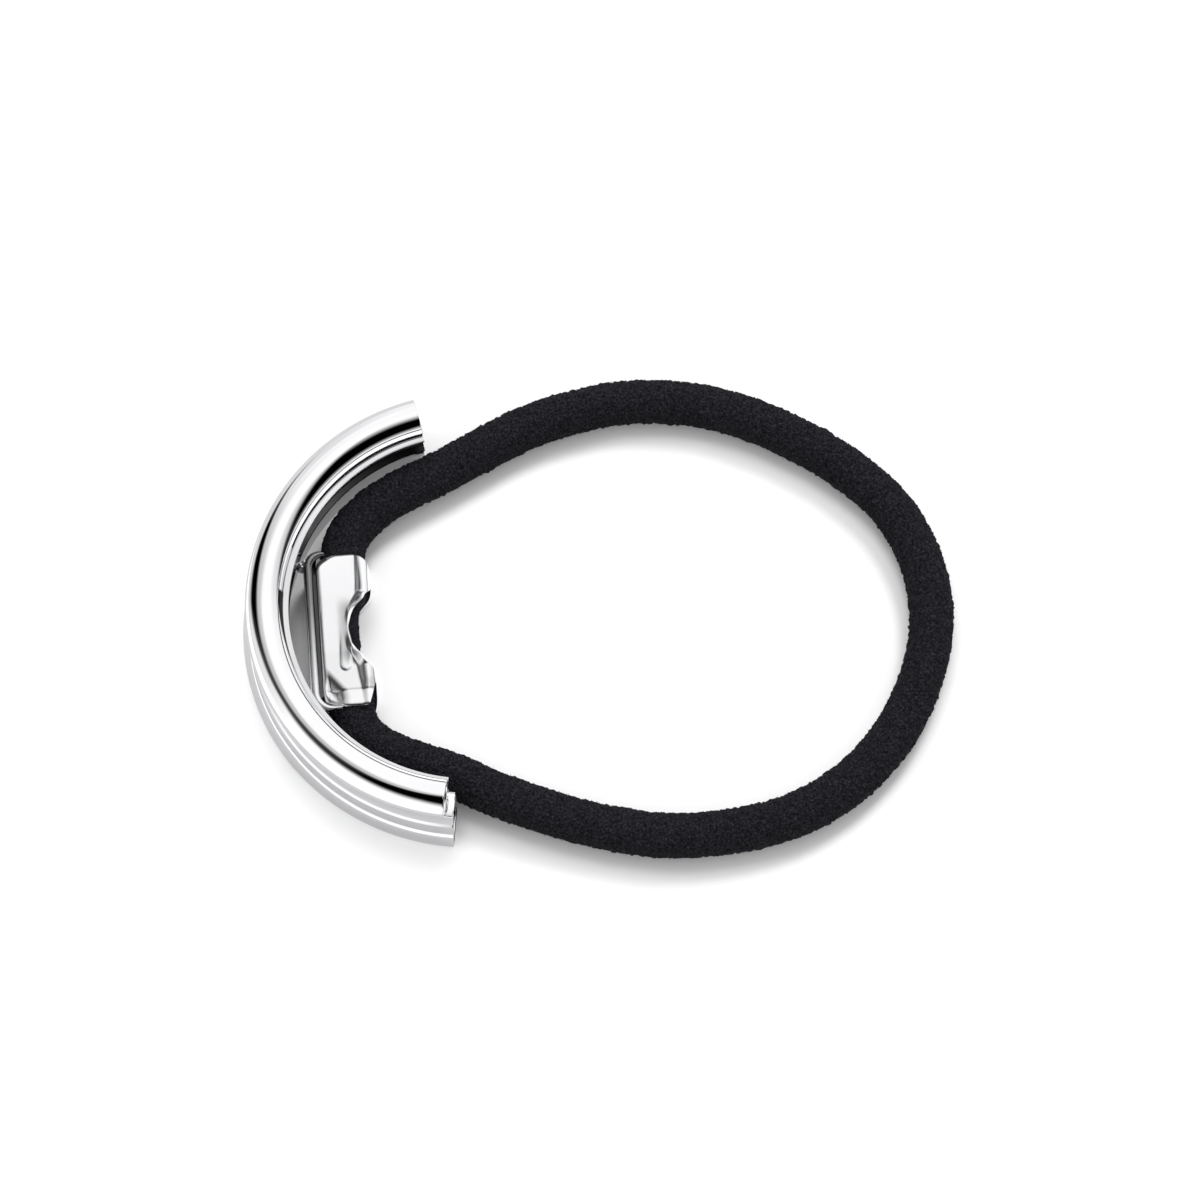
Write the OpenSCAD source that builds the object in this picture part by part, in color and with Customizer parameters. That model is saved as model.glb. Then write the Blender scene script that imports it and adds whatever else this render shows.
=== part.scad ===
// Hair cuff: a ribbed metal arc with a soldered clamp that holds a loop of elastic cord.
// The cuff lies on its lower rim, its opening towards +X.

/* [Cuff] */
// Radius of the inner edge of the rim strip
rim_radius = 16.6; // [15.5:0.1:17]
// Half of the angle that the metal arc spans
half_angle = 79; // [70:1:82]
// Thickness of the sheet that the tube and the shell are made of
wall = 0.35; // [0.3:0.05:0.45]
// How far the lower shell runs past the tube at the near end
shell_extra = 0.75; // [0.3:0.05:1.2]

/* [Top tube] */
// Outer diameter of the round tube along the top
tube_d = 3.5; // [3.4:0.05:3.7]
// Height of the centre of the tube over the base
tube_z = 7.3; // [7.2:0.05:7.35]

/* [Rim strip] */
// Height of the inner edge of the strip over the base
strip_z = 7; // [6.9:0.05:7.1]
// Depth of the strip from its top down
strip_depth = 0.38; // [0.3:0.02:0.5]

/* [Lower shell] */
// Diameter of the middle rib
rib_mid_d = 3; // [2.9:0.05:3.1]
// Diameter of the lowest rib
rib_low_d = 2.6; // [2.4:0.05:2.7]
// How far the inner wall is set back from the rim strip
set_back = 0.55; // [0.5:0.05:0.6]

/* [Clamp] */
// Length of the clamp along the cord
clamp_len = 14.6; // [12:0.2:15]
// Thickness of the folded sheet
sheet = 0.45; // [0.35:0.05:0.5]
// Radius of the waist cut between the two lobes
waist_r = 4.5; // [4:0.1:5]
// Height of the slot between the upper and lower lobes
slot = 2.2; // [1.6:0.1:2.6]

/* [Elastic] */
// Diameter of the elastic cord
cord_d = 4; // [3.5:0.05:4]

/* [Hidden] */

// Arc: the middle of the metal points along -X, the near end is the one at -Y.
far_deg = 180 - half_angle;
sweep_deg = 2 * half_angle;
arc_fn = 240;
round_fn = 48;

// Section, as radius from the arc's centre and height over the base
tube_r = tube_d / 2;
tube_rho = rim_radius + 2.2;
strip_in = 0.7;
strip_rise = 0.1;
bead_r = 0.7;
bead_rho = rim_radius + 0.68;
bead_z = 4.75;
wall_rho = rim_radius + set_back;
rib_mid_r = rib_mid_d / 2;
rib_mid_rho = rim_radius + 2.8;
rib_mid_z = 4.15;
rib_low_r = rib_low_d / 2;
rib_low_rho = rim_radius + 3.25;
shoulder_r = 1.2;
shoulder_z = 4.45;
crease_rho = rim_radius + 3.3;
extra_deg = shell_extra / tube_rho * 180 / PI;

// Box of the metal, whose middle is the origin
outer_rho = rib_low_rho + rib_low_r;
near_deg = far_deg - extra_deg;
box_x = (wall_rho * cos(near_deg) - outer_rho) / 2;
box_y = (outer_rho * sin(far_deg) - outer_rho * sin(near_deg)) / 2;

// Clamp: the cavity is a little wider than the cord, and it sits a little towards the near end.
clamp_y = -0.6;
cavity = 4.1;
cavity_x = -11.5;
cavity_z = 2.6;
cavity_r = 0.45;
fold_r = cavity_r + sheet;
clamp_box = cavity + 2 * sheet;
lobe_corner = 1;
waist_x = -6.8;
mouth_x = -10.3;

// Back plate: its top rail turns round both ends of the clamp.
plate_x = -15.1;
plate_t = 0.8;
plate_z0 = 0.4;
plate_z1 = 5.1;
rail_half = clamp_len / 2 + 0.3;
rail_t = 0.35;
rail_turn = 1.7;
rail_z0 = 4.7;
tail_x = -12.4;
web_half = 6;
web_z0 = 0.7;
web_z1 = 3.2;

// Solder beads that join the plate to the cuff: x, y from the clamp's middle and height of the top
solder_r = 0.5;
solder_z = 3.6;
solder_far = [-15.3, 6.3, 5.7];
solder_near = [-15, -6.6, 5.45];

// Elastic: hand-laid route through the clamp from under its near lobe, out of its far mouth, round the
// loop and back in at its near mouth, as [x, y, z] from the arc's centre
rest_z = cord_d / 2 + 0.01;
end_gap = 0.15;
join_y = -5.8;
route = [
    [cavity_x, join_y + end_gap, cavity_z],
    [cavity_x, -1.6, cavity_z],
    [cavity_x, 2.6, cavity_z],
    [cavity_x, 6.8, cavity_z],
    [-11, 8.8, 2.6],
    [-9.5, 10.7, 2.55],
    [-7.4, 12.3, 2.5],
    [-5.1, 13.5, 2.45],
    [-2.3, 14.7, 2.35],
    [2.4, 17, 2.2],
    [6.6, 18.9, 2.05],
    [10.8, 20, rest_z],
    [15, 20.6, rest_z],
    [19.3, 20.4, rest_z],
    [23.6, 19.5, rest_z],
    [27.7, 17.8, rest_z],
    [31.8, 15.4, rest_z],
    [35.8, 12.3, rest_z],
    [39.5, 8.1, rest_z],
    [41.7, 2.8, rest_z],
    [42.1, -3.1, rest_z],
    [40.5, -8.8, rest_z],
    [37.6, -13.8, rest_z],
    [33.7, -17.7, rest_z],
    [29.2, -20.3, rest_z],
    [24.5, -21.6, rest_z],
    [19.9, -22, rest_z],
    [15.7, -21.8, rest_z],
    [11.7, -20.9, rest_z],
    [7.9, -19.7, rest_z],
    [4.2, -18.2, 2.05],
    [0.2, -16.35, 2.15],
    [-2.4, -14.85, 2.25],
    [-5, -13.75, 2.35],
    [-7.4, -12.75, 2.45],
    [-9.6, -11.35, 2.55],
    [-10.95, -9.8, 2.6],
    [cavity_x, -8, cavity_z],
    [cavity_x, join_y - end_gap, cavity_z]
];
cord_sides = 8;

// A smooth curve through the route: each span is halved, its middle leaning outwards.
function mid_point(p, i) =
    i == 0 || i == len(p) - 2
    ? (p[i] + p[i + 1]) / 2
    : (9 * (p[i] + p[i + 1]) - p[i - 1] - p[i + 2]) / 16;
function smooth_route(p) =
    [for (i = [0:len(p) - 1]) each i == len(p) - 1 ? [p[i]] : [p[i], mid_point(p, i)]];

// Level direction across the route at point i
function level_normal(p, i) =
    let (a = p[max(i - 1, 0)], b = p[min(i + 1, len(p) - 1)], d = [b.x - a.x, b.y - a.y, 0])
    [-d.y, d.x, 0] / norm(d);

// Turns a section about the arc's centre between two angles.
module arc_sweep(from_deg, to_deg) {
    rotate([0, 0, from_deg])
        rotate_extrude(angle = to_deg - from_deg, $fn = arc_fn)
            children();
}

module disc_at(rho, z, r) {
    translate([rho, z])
        circle(r = r, $fn = round_fn);
}

// Outline of the lower shell, drawn in by the given inset
module shell_outline(inset) {
    disc_at(rib_mid_rho, rib_mid_z, rib_mid_r - inset);
    disc_at(rib_low_rho, rib_low_r, rib_low_r - inset);
    disc_at(wall_rho + shoulder_r, shoulder_z, shoulder_r - inset);
    translate([wall_rho + inset, inset])
        square([rib_low_rho - wall_rho - inset, rib_low_r]);
    translate([wall_rho + inset, rib_low_r])
        square([crease_rho - wall_rho - 2 * inset, shoulder_z - rib_low_r]);
}

module top_tube() {
    arc_sweep(far_deg, far_deg + sweep_deg)
        disc_at(tube_rho, tube_z, tube_r);
}

// Narrow strip that leans a little into the cuff
module rim_strip() {
    arc_sweep(far_deg, far_deg + sweep_deg)
        translate([rim_radius, strip_z])
            polygon([[0, 0], [0, -strip_depth], [strip_in, strip_rise - strip_depth], [strip_in, strip_rise]]);
}

// Round moulding along the shell's shoulder
module inner_bead() {
    arc_sweep(far_deg, far_deg + sweep_deg)
        disc_at(bead_rho, bead_z, bead_r);
}

module tube_bore() {
    arc_sweep(far_deg - 2, far_deg + sweep_deg + 2)
        disc_at(tube_rho, tube_z, tube_r - wall);
}

module lower_shell() {
    arc_sweep(far_deg, far_deg + sweep_deg + extra_deg)
        difference() {
            shell_outline(0);
            shell_outline(wall);
        }
}

module rounded_rect(w, h, r) {
    for (x = [-1, 1], z = [-1, 1])
        translate([x * (w / 2 - r), z * (h / 2 - r)])
            circle(r = r, $fn = round_fn);
    square([w - 2 * r, h], center = true);
    square([w, h - 2 * r], center = true);
}

// Folded sheet round the cord: a C whose open side faces into the cuff
module clamp_fold() {
    translate([cavity_x, 0, cavity_z])
        rotate([90, 0, 0])
            linear_extrude(height = clamp_len, center = true)
                difference() {
                    rounded_rect(clamp_box, clamp_box, fold_r);
                    rounded_rect(cavity, cavity, cavity_r);
                    translate([mouth_x - cavity_x, -slot / 2])
                        square([clamp_box, slot]);
                }
}

// Plan of the clamp: round corners on the lobes
module clamp_plan() {
    translate([cavity_x, 0, -1])
        linear_extrude(height = clamp_box + 2)
            rounded_rect(clamp_box + 0.02, clamp_len + 0.02, lobe_corner);
}

module cord_clamp() {
    difference() {
        intersection() {
            clamp_fold();
            clamp_plan();
        }
        translate([waist_x, 0, -1])
            cylinder(r = waist_r, h = clamp_box + 2, $fn = 96);
    }
}

// Plan of the rail: a C with round corners round the back and both ends of the clamp
module rail_plan() {
    rail_w = 2 * (tail_x - plate_x);
    difference() {
        translate([tail_x, 0])
            rounded_rect(rail_w, 2 * rail_half, rail_turn);
        translate([tail_x + plate_t, 0])
            rounded_rect(rail_w, 2 * (rail_half - rail_t), rail_turn - rail_t);
        translate([tail_x, -rail_half - 1])
            square([rail_w, 2 * rail_half + 2]);
    }
}

module back_plate() {
    plate_half = rail_half - rail_turn;
    translate([plate_x, -plate_half, plate_z0])
        cube([plate_t, 2 * plate_half, plate_z1 - plate_z0]);
    translate([0, 0, rail_z0])
        linear_extrude(height = plate_z1 - rail_z0)
            rail_plan();
    translate([plate_x, -web_half, web_z0])
        cube([cavity_x - cavity / 2 - plate_x - sheet / 2, 2 * web_half, web_z1 - web_z0]);
}

module solder_bead(place) {
    translate([place.x, place.y, solder_z])
        cylinder(r = solder_r, h = place.z - solder_z, $fn = round_fn);
}

module metal_cuff() {
    color("gainsboro")
        translate([-box_x, -box_y, 0]) {
            difference() {
                union() {
                    top_tube();
                    rim_strip();
                    inner_bead();
                    lower_shell();
                }
                tube_bore();
            }
            translate([0, clamp_y, 0]) {
                cord_clamp();
                back_plate();
                solder_bead(solder_far);
                solder_bead(solder_near);
            }
        }
}

module elastic_cord() {
    path = smooth_route(route);
    rings = len(path);
    n = cord_sides;
    points = [
        for (i = [0:rings - 1], k = [0:n - 1])
            let (a = (k + 0.5) * 360 / n)
            path[i] + cord_d / 2 * (cos(a) * level_normal(path, i) + sin(a) * [0, 0, 1])
    ];
    sides = [
        for (i = [0:rings - 2], k = [0:n - 1])
            [i * n + k, i * n + (k + 1) % n, (i + 1) * n + (k + 1) % n, (i + 1) * n + k]
    ];
    start_cap = [for (k = [n - 1:-1:0]) k];
    end_cap = [for (k = [0:n - 1]) (rings - 1) * n + k];
    color("black")
        translate([-box_x, -box_y, 0])
            polyhedron(points = points, faces = concat([start_cap], sides, [end_cap]), convexity = 6);
}

metal_cuff();
elastic_cord();
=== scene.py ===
import math
import random

import bmesh
import bpy
from mathutils import Matrix, Vector, noise


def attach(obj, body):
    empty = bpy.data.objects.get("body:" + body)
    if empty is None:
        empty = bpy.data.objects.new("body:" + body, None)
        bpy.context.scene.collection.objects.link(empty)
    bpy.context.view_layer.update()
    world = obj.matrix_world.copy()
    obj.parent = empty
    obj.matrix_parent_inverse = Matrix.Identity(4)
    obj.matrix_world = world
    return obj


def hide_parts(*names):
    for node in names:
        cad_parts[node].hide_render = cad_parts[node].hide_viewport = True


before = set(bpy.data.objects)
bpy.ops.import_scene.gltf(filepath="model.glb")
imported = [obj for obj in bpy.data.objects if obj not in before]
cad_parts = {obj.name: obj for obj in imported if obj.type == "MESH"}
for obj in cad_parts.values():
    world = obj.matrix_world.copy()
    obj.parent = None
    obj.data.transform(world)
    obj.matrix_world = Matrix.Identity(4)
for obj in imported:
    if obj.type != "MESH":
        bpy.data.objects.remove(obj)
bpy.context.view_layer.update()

mm = 0.001
sameSpot = 1e-7           # vertices closer than this are one
scene = bpy.context.scene
random.seed(41)

# The arc's centre in the part's frame: everything round is turned about it.
arc = {
    "centreX": 11.87 * mm,
    "centreY": 0.07 * mm,
    "farEnd": 101.0,      # degrees from +X
    "sweep": 158.0,
    "steps": 320,
}

# Camera: steep view from the near side, turned a little about the upright
view = {
    "target": (23.59 * mm, -0.50 * mm, 7.0 * mm),
    "elevation": 70.0,
    "turn": 4.57,
    "distance": 424.4 * mm,
    "lens": 140.0,
    "sensor": 36.0,
}


def addCamera():
    camData = bpy.data.cameras.new("photoCamera")
    camData.lens = view["lens"]
    camData.sensor_width = view["sensor"]
    camData.clip_start = 0.01
    camData.clip_end = 20.0
    cam = bpy.data.objects.new("photoCamera", camData)
    scene.collection.objects.link(cam)
    up = math.radians(view["elevation"])
    turn = math.radians(view["turn"])
    away = Vector((-math.cos(up) * math.sin(turn), -math.cos(up) * math.cos(turn), math.sin(up)))
    cam.location = Vector(view["target"]) + away * view["distance"]
    cam.rotation_euler = away.to_track_quat("Z", "Y").to_euler()
    scene.camera = cam


addCamera()
print("camera placed")


# Shader helpers

def newMaterial(name):
    mat = bpy.data.materials.new(name)
    mat.use_nodes = True
    mat.node_tree.nodes.clear()
    tree = mat.node_tree
    out = tree.nodes.new("ShaderNodeOutputMaterial")
    bsdf = tree.nodes.new("ShaderNodeBsdfPrincipled")
    tree.links.new(bsdf.outputs["BSDF"], out.inputs["Surface"])
    return mat, tree, bsdf


def mathNode(tree, operation, a, b=None):
    node = tree.nodes.new("ShaderNodeMath")
    node.operation = operation
    for i, value in enumerate((a, b)):
        if value is None:
            continue
        if isinstance(value, (int, float)):
            node.inputs[i].default_value = value
        else:
            tree.links.new(value, node.inputs[i])
    return node.outputs[0]


def noiseTexture(tree, look):
    node = tree.nodes.new("ShaderNodeTexNoise")
    node.inputs["Scale"].default_value = look["scale"]
    node.inputs["Detail"].default_value = look["detail"]
    return node


polishLook = {
    "fine": {"scale": 900.0, "detail": 4.0},
    "slow": {"scale": 140.0, "detail": 2.0},
    "rippleDepth": 0.02 * mm,
    "darkAt": 0.3,        # values of the slow noise at which the metal is darkest and lightest
    "lightAt": 0.7,
    # painted shadow of the gap beside the rim strip: its colour, the softness of its edge and how
    # abruptly it begins
    "gapShadowColor": (0.002, 0.002, 0.002, 1),
    "gapEdge": 0.04 * mm,
    "gapStart": 40.0,     # how abruptly the gap begins
}


def makePolishMarks():
    # faint wipe marks and a slow ripple, as a jeweller's wheel leaves them
    group = bpy.data.node_groups.new("polishMarks", "ShaderNodeTree")
    face = group.interface
    face.new_socket(name="Vector", in_out="INPUT", socket_type="NodeSocketVector")
    face.new_socket(name="Base Roughness", in_out="INPUT", socket_type="NodeSocketFloat")
    face.new_socket(name="Spread", in_out="INPUT", socket_type="NodeSocketFloat")
    face.new_socket(name="Roughness", in_out="OUTPUT", socket_type="NodeSocketFloat")
    face.new_socket(name="Height", in_out="OUTPUT", socket_type="NodeSocketFloat")
    inNode = group.nodes.new("NodeGroupInput")
    outNode = group.nodes.new("NodeGroupOutput")
    fine = noiseTexture(group, polishLook["fine"])
    slow = noiseTexture(group, polishLook["slow"])
    for tex in (fine, slow):
        group.links.new(inNode.outputs["Vector"], tex.inputs["Vector"])
    mix = mathNode(group, "MULTIPLY", fine.outputs[0], slow.outputs[0])
    spreadOut = mathNode(group, "MULTIPLY", mix, inNode.outputs["Spread"])
    rough = mathNode(group, "ADD", inNode.outputs["Base Roughness"], spreadOut)
    group.links.new(rough, outNode.inputs["Roughness"])
    group.links.new(slow.outputs[0], outNode.inputs["Height"])
    return group


polishMarks = makePolishMarks()


def makePolished(name, look):
    mat, tree, bsdf = newMaterial(name)
    coords = tree.nodes.new("ShaderNodeTexCoord")
    marks = tree.nodes.new("ShaderNodeGroup")
    marks.node_tree = polishMarks
    marks.inputs["Base Roughness"].default_value = look["roughness"]
    marks.inputs["Spread"].default_value = look["spread"]
    tree.links.new(coords.outputs["Object"], marks.inputs["Vector"])
    tree.links.new(marks.outputs["Roughness"], bsdf.inputs["Roughness"])
    bump = tree.nodes.new("ShaderNodeBump")
    bump.inputs["Strength"].default_value = look["ripple"]
    bump.inputs["Distance"].default_value = polishLook["rippleDepth"]
    tree.links.new(marks.outputs["Height"], bump.inputs["Height"])
    tree.links.new(bump.outputs["Normal"], bsdf.inputs["Normal"])
    tone = tree.nodes.new("ShaderNodeValToRGB")
    for stop, shade in zip(tone.color_ramp.elements, ("dark", "light")):
        stop.position = polishLook[shade + "At"]
        stop.color = (*look[shade], 1)
    tree.links.new(marks.outputs["Height"], tone.inputs["Fac"])
    color = tone.outputs["Color"]
    # painted shade, darker towards the far end
    if "farShade" in look:
        color = farShadedColor(tree, coords.outputs["Object"], color, look["farShade"])
    # painted shadow of the gap beside the strip, mixed in near black
    if "gapShadow" in look:
        mix = tree.nodes.new("ShaderNodeMix")
        mix.data_type = "RGBA"
        mask = gapShadowMask(tree, coords.outputs["Object"], look["gapShadow"])
        tree.links.new(mask, mix.inputs["Factor"])
        tree.links.new(color, mix.inputs[6])
        mix.inputs[7].default_value = polishLook["gapShadowColor"]
        color = mix.outputs[2]
    tree.links.new(color, bsdf.inputs["Base Color"])
    bsdf.inputs["Metallic"].default_value = 1.0
    return mat


def farShadedColor(tree, spot, color, farShade):
    # painted shade: the metal's colour is darker towards the far end
    way = tree.nodes.new("ShaderNodeSeparateXYZ")
    tree.links.new(spot, way.inputs[0])
    share = tree.nodes.new("ShaderNodeMapRange")
    share.interpolation_type = "SMOOTHSTEP"
    tree.links.new(way.outputs[1], share.inputs["Value"])
    for socket, value in (("From Min", farShade["from"] * mm), ("From Max", farShade["to"] * mm),
                          ("To Min", 1.0), ("To Max", farShade["share"])):
        share.inputs[socket].default_value = value
    scaled = tree.nodes.new("ShaderNodeVectorMath")
    scaled.operation = "SCALE"
    tree.links.new(color, scaled.inputs[0])
    tree.links.new(share.outputs["Result"], scaled.inputs["Scale"])
    return scaled.outputs["Vector"]


def gapShadowMask(tree, spot, gapShadow):
    # painted shadow: a near-black wedge low on the tube's inner side, standing in for the shade
    # in the gap the solder leaves beside the strip
    way = tree.nodes.new("ShaderNodeSeparateXYZ")
    tree.links.new(spot, way.inputs[0])
    x = mathNode(tree, "SUBTRACT", arc["centreX"], way.outputs[0])
    y = mathNode(tree, "SUBTRACT", arc["centreY"], way.outputs[1])
    turn = mathNode(tree, "DEGREES", mathNode(tree, "ARCTAN2", y, x))
    fromStart = mathNode(tree, "SUBTRACT", turn, gapShadow["from"])
    along = mathNode(tree, "DIVIDE", fromStart, gapShadow["to"] - gapShadow["from"])
    xSquare = mathNode(tree, "MULTIPLY", x, x)
    ySquare = mathNode(tree, "MULTIPLY", y, y)
    rho = mathNode(tree, "SQRT", mathNode(tree, "ADD", xSquare, ySquare))
    width = mathNode(tree, "MULTIPLY", mathNode(tree, "SUBTRACT", 1.0, along), gapShadow["width"] * mm)
    over = mathNode(tree, "SUBTRACT", mathNode(tree, "ADD", width, gapShadow["inner"] * mm), rho)
    inside = mathNode(tree, "DIVIDE", over, polishLook["gapEdge"])
    begun = mathNode(tree, "MULTIPLY", along, polishLook["gapStart"])
    both = mathNode(tree, "MINIMUM", inside, begun)
    return mathNode(tree, "MAXIMUM", mathNode(tree, "MINIMUM", both, 1.0), 0.0)


mirrorPolish = {
    "roughness": 0.03, "spread": 0.03, "ripple": 0.02,
    "dark": (0.76, 0.76, 0.77), "light": (0.80, 0.80, 0.81)}
# where on the tube the painted shadow of the gap lies
tubeGapShadow = {"from": -8.0, "to": 22.0, "inner": 17.06, "width": 0.45}
polishedMetal = makePolished("polishedMetal", mirrorPolish)
tubeMetal = makePolished("tubeMetal", {**mirrorPolish, "gapShadow": tubeGapShadow})
stripMetal = makePolished("stripMetal", {
    "roughness": 0.06, "spread": 0.05, "ripple": 0.02,
    "dark": (0.58, 0.58, 0.59), "light": (0.66, 0.66, 0.67)})
pressedMetal = makePolished("pressedMetal", {
    "roughness": 0.2, "spread": 0.06, "ripple": 0.05,
    "dark": (0.74, 0.74, 0.75), "light": (0.79, 0.79, 0.80)})
plateMetal = makePolished("plateMetal", {
    "roughness": 0.22, "spread": 0.08, "ripple": 0.05,
    "dark": (0.72, 0.72, 0.73), "light": (0.78, 0.78, 0.79),
    # painted shade: the plate's colour darkens towards its far end
    "farShade": {"from": -7.0, "to": 3.0, "share": 0.3}})
# painted shade: the solder deep in the valley between the plate and the clamp is dark grey
webShadeMetal = makePolished("webShadeMetal", {
    "roughness": 0.45, "spread": 0.2, "ripple": 0.3,
    "dark": (0.22, 0.22, 0.22), "light": (0.30, 0.30, 0.30)})


# Elastic cord: the same route as the solid's, from the arc's centre

cordLook = {
    "diameter": 4.0 * mm,
    "rings": 1150,
    "sides": 72,
    "perSpan": 24,        # points of the curve between two points of the route
    "fluff": 0.16 * mm,
    # lumps of the napped cover: how many to the metre, how high as a share of the fluff
    "lumps": [{"scale": 900, "share": 0.4}, {"scale": 2700, "share": 1.2},
              {"scale": 6100, "share": 0.6}],
    # along the clamp's waist, where the cord is pressed flatter on its open side
    "squeeze": {"from": -4.6, "full": -2.4, "fullTo": 1.8, "to": 4.2, "share": 0.5, "power": 1.5,
                "behindX": -11 * mm},
    # lengths and widths in millimetres
    "tufts": {"count": 13000, "length": (0.08, 0.22), "width": (0.025, 0.055)},
    "fibres": {"count": 70, "length": (0.25, 0.6), "width": 0.012},
    "rootDepth": 0.02 * mm,
    "lowestRoot": 0.08 * mm,
}
# In millimetres: the cord's axis inside the clamp, the clamp's offset, where the cord's ends meet,
# half the gap between them, and the height of the axis where the cord lies on the table
cavityX, cavityZ, clampY, joinY, endGap, restZ = -11.5, 2.6, -0.6, -5.8, 0.15, 2.01
route = [
    (cavityX, joinY + endGap, cavityZ), (cavityX, -1.6, cavityZ), (cavityX, 2.6, cavityZ),
    (cavityX, 6.8, cavityZ),
    (-11, 8.8, 2.6), (-9.5, 10.7, 2.55), (-7.4, 12.3, 2.5), (-5.1, 13.5, 2.45), (-2.3, 14.7, 2.35),
    (2.4, 17, 2.2), (6.6, 18.9, 2.05), (10.8, 20, restZ), (15, 20.6, restZ), (19.3, 20.4, restZ),
    (23.6, 19.5, restZ), (27.7, 17.8, restZ), (31.8, 15.4, restZ), (35.8, 12.3, restZ),
    (39.5, 8.1, restZ), (41.7, 2.8, restZ), (42.1, -3.1, restZ), (40.5, -8.8, restZ),
    (37.6, -13.8, restZ), (33.7, -17.7, restZ), (29.2, -20.3, restZ), (24.5, -21.6, restZ),
    (19.9, -22, restZ), (15.7, -21.8, restZ), (11.7, -20.9, restZ), (7.9, -19.7, restZ),
    (4.2, -18.2, 2.05), (0.2, -16.35, 2.15), (-2.4, -14.85, 2.25), (-5, -13.75, 2.35),
    (-7.4, -12.75, 2.45), (-9.6, -11.35, 2.55), (-10.95, -9.8, 2.6), (cavityX, -8, cavityZ),
    (cavityX, joinY - endGap, cavityZ),
]


def placed(p):
    return Vector((p[0] * mm + arc["centreX"], p[1] * mm + arc["centreY"], p[2] * mm))


def between(value, low, high):
    # 0 below low, 1 above high, smooth from one to the other
    t = min(max((value - low) / (high - low), 0.0), 1.0)
    return t * t * (3 - 2 * t)


def smoothPath(points, perSpan):
    # Catmull-Rom curve through the route's points
    pts = [points[0] * 2 - points[1]] + points + [points[-1] * 2 - points[-2]]
    path = []
    for i in range(1, len(pts) - 2):
        a, b, c, d = pts[i - 1], pts[i], pts[i + 1], pts[i + 2]
        for k in range(perSpan):
            t = k / perSpan
            path.append(0.5 * (2 * b + (c - a) * t + (2 * a - 5 * b + 4 * c - d) * t * t
                               + (3 * b - a - 3 * c + d) * t ** 3))
    path.append(points[-1].copy())
    return path


def evenPath(path, count):
    # the same curve with points at even steps, and its length
    run = [0.0]
    for a, b in zip(path, path[1:]):
        run.append(run[-1] + (b - a).length)
    total = run[-1]
    even, seg = [], 0
    for i in range(count):
        want = total * i / (count - 1)
        while seg < len(path) - 2 and run[seg + 1] < want:
            seg += 1
        t = (want - run[seg]) / max(run[seg + 1] - run[seg], 1e-12)
        even.append(path[seg].lerp(path[seg + 1], min(t, 1.0)))
    return even, total


curve = smoothPath([placed(p) for p in route], cordLook["perSpan"])
cordPath, cordLength = evenPath(curve, cordLook["rings"])


def pathFrames(path):
    frames = []
    for i, p in enumerate(path):
        along = (path[min(i + 1, len(path) - 1)] - path[max(i - 1, 0)]).normalized()
        level = Vector((-along.y, along.x, 0)).normalized()
        frames.append((p, along, level, level.cross(along) * -1))
    return frames


cordFrames = pathFrames(cordPath)


def cordFluff(p):
    return sum(lump["share"] * noise.noise(p * lump["scale"]) for lump in cordLook["lumps"])


def coverReach(p, out):
    # distance from the cord's axis to its cover
    reach = cordLook["diameter"] / 2
    look = cordLook["squeeze"]
    if p.x < arc["centreX"] + look["behindX"]:
        y = (p.y - arc["centreY"]) / mm - clampY
        press = between(y, look["from"], look["full"])
        press *= 1 - between(y, look["fullTo"], look["to"])
        reach *= 1 - look["share"] * press * max(out.x, 0.0) ** look["power"]
    return reach


def closed(bm):
    # fills the open ends and turns all faces outward
    bmesh.ops.holes_fill(bm, edges=[e for e in bm.edges if e.is_boundary], sides=0)
    bmesh.ops.recalc_face_normals(bm, faces=bm.faces)
    return bm


def makeCord():
    rings, sides = cordLook["rings"], cordLook["sides"]
    bm = bmesh.new()
    bmesh.ops.create_grid(bm, x_segments=rings - 1, y_segments=sides, size=0.5, calc_uvs=True)
    uvs = bm.loops.layers.uv.verify()
    for face in bm.faces:
        for loop in face.loops:
            x, y, _ = loop.vert.co
            alongCord = (x + 0.5) * cordLength / mm
            roundCord = (y + 0.5) * cordLook["diameter"] * math.pi / mm
            loop[uvs].uv = (alongCord, roundCord)
    for v in bm.verts:
        i = round((v.co.x + 0.5) * (rings - 1))
        angle = (v.co.y + 0.5) * 2 * math.pi
        p, along, level, up = cordFrames[i]
        out = level * math.cos(angle) + up * math.sin(angle)
        spot = p + out * coverReach(p, out)
        v.co = spot + out * cordLook["fluff"] * cordFluff(spot)
    bmesh.ops.remove_doubles(bm, verts=bm.verts, dist=sameSpot)
    return closed(bm)


def finishPiece(name, bm, material, sharp=None):
    for face in bm.faces:
        face.smooth = True
    if sharp is not None:
        for edge in bm.edges:
            if len(edge.link_faces) == 2 and edge.calc_face_angle(0) > math.radians(sharp):
                edge.smooth = False
    mesh = bpy.data.meshes.new(name)
    bm.to_mesh(mesh)
    bm.free()
    piece = bpy.data.objects.new(name, mesh)
    scene.collection.objects.link(piece)
    mesh.materials.append(material)
    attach(piece, "root")
    return piece


clothLook = {
    "speck": {"scale": 5200.0, "detail": 3.0},
    "lumpScale": 3.2,
    "lumpShare": 0.8,
    "tones": [
        {"at": 0.40, "color": (0.005, 0.0048, 0.0063, 1)},
        {"at": 0.64, "color": (0.021, 0.020, 0.0245, 1)},
        {"at": 0.78, "color": (0.042, 0.042, 0.047, 1)},
    ],
    "bump": 0.45,
    "bumpDepth": 0.08 * mm,
    "surface": {"Roughness": 0.95, "Sheen Weight": 0.01, "Sheen Roughness": 0.4,
                "Specular IOR Level": 0.08},
}


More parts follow.
